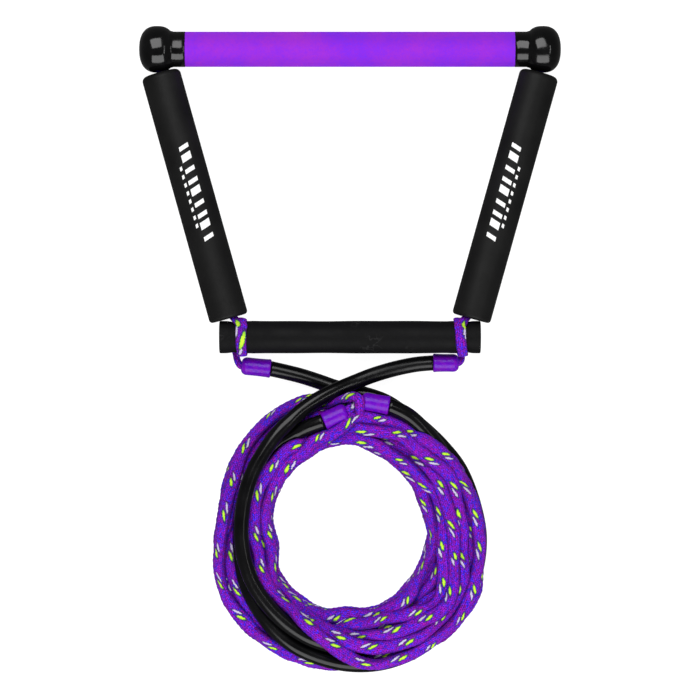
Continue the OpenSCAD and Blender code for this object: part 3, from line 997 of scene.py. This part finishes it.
def cap_profile():
    rows = [(NECK_FROM, SOCKET_R), (NECK_FROM, NECK_R - 0.4), (NECK_FROM + 0.3, NECK_R),
            (NECK_FROM + 3.7, NECK_R), (NECK_FROM + 9.3, NECK_R)]
    for t in np.radians(np.linspace(-80, 90, 60)):
        u = math.sin(t)
        r = BALL_R * max(0.0, 1 - abs(u) ** BALL_SQUARE) ** (1 / BALL_SQUARE)
        if r > NECK_R + 0.4 or u > 0:
            rows.append((BALL_X + HALF_BALL * u, max(r, 0.05)))
    return rows


CAP = cap_look()
for word, side in SIDES.items():
    cap = revolve(word + "_ball_cap", BAR_FROM_SPREADER, (side, 0, 0), cap_profile(), 128)
    dress(cap, CAP, "handle", (word + "_end_cap",))

# ---------------------------------------------------------------- spreader
SLEEVE_END = 102.4  # covers the flanges of the end plugs
SLEEVE_EDGE = 0.5


def spreader_sleeve():
    """A slightly uneven tube, pinched where the wraps hold it."""
    x = np.concatenate([np.linspace(-SLEEVE_END + 0.6, -80, 50), np.linspace(-79, 79, 60),
                        np.linspace(80, SLEEVE_END - 0.6, 50)])
    pinch = 0.75 * np.exp(-((np.abs(x) - LEG_FOOT) / 3.6) ** 2)
    bulge = 0.12 * np.sin(x / 17.0) + 0.08 * np.sin(x / 7.3 + 1)
    r = SLEEVE_R - pinch + bulge * (np.abs(x) < 78)
    ends = [(-SLEEVE_END, SLEEVE_R - SLEEVE_EDGE), (SLEEVE_END, SLEEVE_R - SLEEVE_EDGE)]
    return revolve("spreader_skin", (0, 0, AXIS_Z), (1, 0, 0),
                   ends[:1] + list(zip(x, r)) + ends[1:], 96)


SLEEVE = sleeve_look()
dress(spreader_sleeve(), SLEEVE, "spreader", ("spreader_sleeve",))

# ---------------------------------------------------------------- leg ropes and their wraps
WRAP_PLACES = {"left": (85.3, 84.8), "right": (84.9, 88.6)}     # at the spreader's top, and below
WRAP_LOOKS = {"left": WRAP_LEFT, "right": WRAP_RIGHT}
WRAP_FROM, WRAP_TO, WRAP_STEP = 48, 428, 14     # degrees round the spreader
WRAP_LIFT = 1.45    # from the sleeve's skin to the middle of the rope
TUCK_FROM = 330     # degrees; from here the rope's end goes down under its own beginning
TUCK = 0.35         # millimetres down in each radian


def leg_rope(side, top, bottom):
    """Down the float's bore, inwards to the wrap's place and once round the spreader.

    Returns the path, which way the rope's flat side faces, and how far along the wrap starts.
    """
    axis = leg_axis(side)
    foot = np.array([side * LEG_FOOT, 0, AXIS_Z])
    down = [foot + axis * s for s in (LEG_STOP, 180, 120, 60, 30, 22)]
    down.append(foot + axis * 17.5 + np.array([-side * 3.0, 0, 1.0]))
    around = []
    for turn in np.arange(WRAP_FROM, WRAP_TO, WRAP_STEP):
        x = np.interp(turn, (0, 180, 360, WRAP_TO), (top, bottom, top, (top + bottom) / 2))
        a = math.radians(turn)
        r = SLEEVE_R + WRAP_LIFT - TUCK * max(0.0, a - math.radians(TUCK_FROM))
        around.append(np.array([side * x, r * math.cos(a), AXIS_Z + r * math.sin(a)]))
    path = smooth(down + around, 1.5)
    start = length_of(smooth(down + around[:1], 1.5))
    away = unit((path - foot) * (0, 1, 1))
    in_bore = np.clip((path[:, 1] - 14) / 20, 0, 1)[:, None]
    return path, unit(away * (1 - in_bore) + np.array([0, 0, 1.0]) * in_bore), start


def leg_rope_mesh(side, word):
    """Round in the float and flat on the spreader."""
    path, up, start = leg_rope(side, *WRAP_PLACES[word])
    flat_to_round = (12, 18, 30)    # how far up the leg
    wide = np.interp(path[:, 1], flat_to_round, (4.25, 3.6, 4.0))
    thick = np.interp(path[:, 1], flat_to_round, (1.25, 2.2, 3.9))
    obj = sweep(word + "_leg_braid", path, wide, thick, 16, up=up, square=2.2, lump=0.05,
                zero=start)
    return dress(obj, WRAP_LOOKS[word], "legs", (word + "_leg_rope",))


for word, side in SIDES.items():
    leg_rope_mesh(side, word)


# ---------------------------------------------------------------- finish of the kept parts
def plain_rope_look():
    look = Look("plain_rope", Roughness=0.75)
    fine = look.noise(look.coords("Object"), 900.0, 3.0)
    return look.set(Base_Color=look.ramp(fine, [(0.3, BLUE), (0.7, MAGENTA)]),
                    Normal=look.bump(fine, 0.4, 0.0005))


def repaint(node, material):
    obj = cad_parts[node]
    obj.data.materials.clear()
    obj.data.materials.append(material)


METAL = metal_look()
repaint("grip_wrap", suede_look())
repaint("grip_underlay", foam_look("grip_rubber_skin", level=0.02))
repaint("bar_tube", METAL)
repaint("spreader_tube", METAL)
repaint("bar_rope", plain_rope_look())
for plug in ("spreader_left_plug", "spreader_right_plug"):
    repaint(plug, SLEEVE)

# ---------------------------------------------------------------- stage and light
FLOOR = 6           # half its width, in metres


def make_floor():
    """White paper that throws no reflection into the gloss of the caps and tubes."""
    corners = [(-FLOOR, -FLOOR, 0), (FLOOR, -FLOOR, 0), (FLOOR, FLOOR, 0), (-FLOOR, FLOOR, 0)]
    floor = add_mesh("floor", corners, [(0, 1, 2, 3)])
    paper = Look("paper", Roughness=0.95, Specular_IOR_Level=0.0, Base_Color=(0.2, 0.2, 0.2, 1),
                 Emission_Color=(1, 1, 1, 1), Emission_Strength=0.96)
    floor.data.materials.append(paper.material)
    floor.visible_glossy = False


def make_world():
    world = bpy.data.worlds.new("studio")
    world.use_nodes = True
    background = world.node_tree.nodes["Background"]
    background.inputs["Color"].default_value = (1, 1, 1, 1)
    background.inputs["Strength"].default_value = 0.12
    bpy.context.scene.world = world
    bpy.context.scene.view_settings.view_transform = "Standard"


def softbox(name, where, size, power):
    """A rectangular light that points at the middle of the object."""
    data = bpy.data.lights.new(name, "AREA")
    data.shape = "RECTANGLE"
    data.size, data.size_y = size
    data.energy = power
    light = bpy.data.objects.new(name, data)
    light.location = where
    aim = Vector((0, -0.1, 0)) - Vector(where)
    light.rotation_euler = aim.to_track_quat("-Z", "Y").to_euler()
    bpy.context.scene.collection.objects.link(light)


make_floor()
softbox("north", (-0.25, 0.85, 1.5), (1.3, 1.45), 31.5)
softbox("south", (0.1, -1.6, 1.2), (2.0, 1.5), 42.0)
softbox("east_strip", (1.5, -0.1, 1.9), (1.6, 0.12), 5.0)
make_world()

# ---------------------------------------------------------------- the routes' first points and paths, placed in metres; the results are not kept
place(LEFT_ROUTE[0])
place(left_path)
place(RIGHT_ROUTE[0])
place(right_path)
place(main_path[0])
place(main_path)
